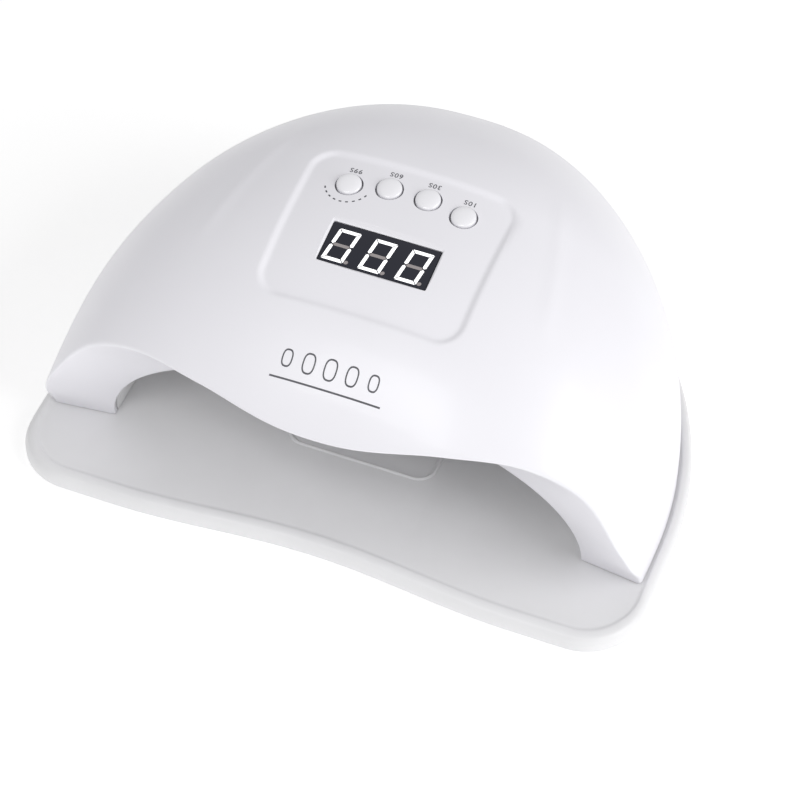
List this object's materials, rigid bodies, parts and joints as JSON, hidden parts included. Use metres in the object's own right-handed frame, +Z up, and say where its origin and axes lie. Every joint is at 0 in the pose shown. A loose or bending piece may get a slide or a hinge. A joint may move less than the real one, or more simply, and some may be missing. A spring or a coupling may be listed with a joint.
{
  "type": "uv led nail lamp",
  "caption": "Domed tabletop UV LED nail curing lamp with an open-front hand cavity, a control panel of push buttons and a digital display, on a lift-off base tray.",
  "frame": {"origin": "on the table, under the middle of the bounding box", "axes": "+X to the user's right, +Y to the rear, +Z up; the hand opening faces -Y"},
  "size_m": [0.2344, 0.1888, 0.1001],
  "materials": {
    "housing_white": "satin gloss white ABS",
    "liner_white": "satin white reflector plastic",
    "tray_white": "satin white ABS",
    "key_white": "gloss white key cap",
    "window_smoked": "gloss smoked display filter",
    "display_black": "matte black epoxy",
    "black_plastic": "matte black moulding",
    "board_green": "green solder mask",
    "board_white": "white solder mask with clear lamp beads",
    "steel": "zinc plated",
    "magnet_nickel": "nickel plated",
    "can_metal": "plain can",
    "foot_rubber": "matt moulded rubber",
    "wire_white": "soft insulation"
  },
  "bodies": {
    "tray": {"base_tray": "tray_white", "foot_1": "foot_rubber", "foot_2": "foot_rubber", "foot_3": "foot_rubber", "foot_4": "foot_rubber", "keeper_disc_1": "steel", "keeper_disc_2": "steel", "keeper_disc_3": "steel", "keeper_disc_4": "steel"},
    "lamp_head": {"upper_housing": "housing_white", "inner_liner": "liner_white", "display_window": "window_smoked", "control_board": "board_green", "display_module": "display_black", "microcontroller": "black_plastic", "inductor": "black_plastic", "capacitor": "can_metal", "dc_jack": "black_plastic", "power_lead": "wire_white", "led_lead_right": "wire_white", "led_lead_left": "wire_white", "magnet_1": "magnet_nickel", "magnet_2": "magnet_nickel", "magnet_3": "magnet_nickel", "magnet_4": "magnet_nickel", "housing_screw_1": "steel", "housing_screw_2": "steel", "housing_screw_3": "steel", "housing_screw_4": "steel", "housing_screw_5": "steel", "housing_screw_6": "steel", "board_screw_1": "steel", "board_screw_2": "steel", "board_screw_3": "steel", "board_screw_4": "steel", "switch_99s": "black_plastic", "switch_60s": "black_plastic", "switch_30s": "black_plastic", "switch_10s": "black_plastic", "hand_sensor_left": "black_plastic", "hand_sensor_right": "black_plastic", "led_board_right": "board_white", "led_board_upper_right": "board_white", "led_board_top": "board_white", "led_board_upper_left": "board_white", "led_board_left": "board_white", "led_board_rear_right": "board_white", "led_board_rear_left": "board_white"},
    "key_99s": {"button_99s": "key_white", "plunger_99s": "steel"},
    "key_60s": {"button_60s": "key_white", "plunger_60s": "steel"},
    "key_30s": {"button_30s": "key_white", "plunger_30s": "steel"},
    "key_10s": {"button_10s": "key_white", "plunger_10s": "steel"}
  },
  "joints": [
    {"name": "head_lift", "type": "slide", "parent": "tray", "child": "lamp_head", "axis": [0, 0, 1], "range_m": [0, 0.12]},
    {"name": "press_99s", "type": "slide", "parent": "lamp_head", "child": "key_99s", "axis": [0, 0.1564, -0.9877], "range_m": [0, 0.0005], "stiffness_N_per_m": 3000, "springref_m": -0.0003},
    {"name": "press_60s", "type": "slide", "parent": "lamp_head", "child": "key_60s", "axis": [0, 0.1564, -0.9877], "range_m": [0, 0.0005], "stiffness_N_per_m": 3000, "springref_m": -0.0003},
    {"name": "press_30s", "type": "slide", "parent": "lamp_head", "child": "key_30s", "axis": [0, 0.1564, -0.9877], "range_m": [0, 0.0005], "stiffness_N_per_m": 3000, "springref_m": -0.0003},
    {"name": "press_10s", "type": "slide", "parent": "lamp_head", "child": "key_10s", "axis": [0, 0.1564, -0.9877], "range_m": [0, 0.0005], "stiffness_N_per_m": 3000, "springref_m": -0.0003}
  ]
}
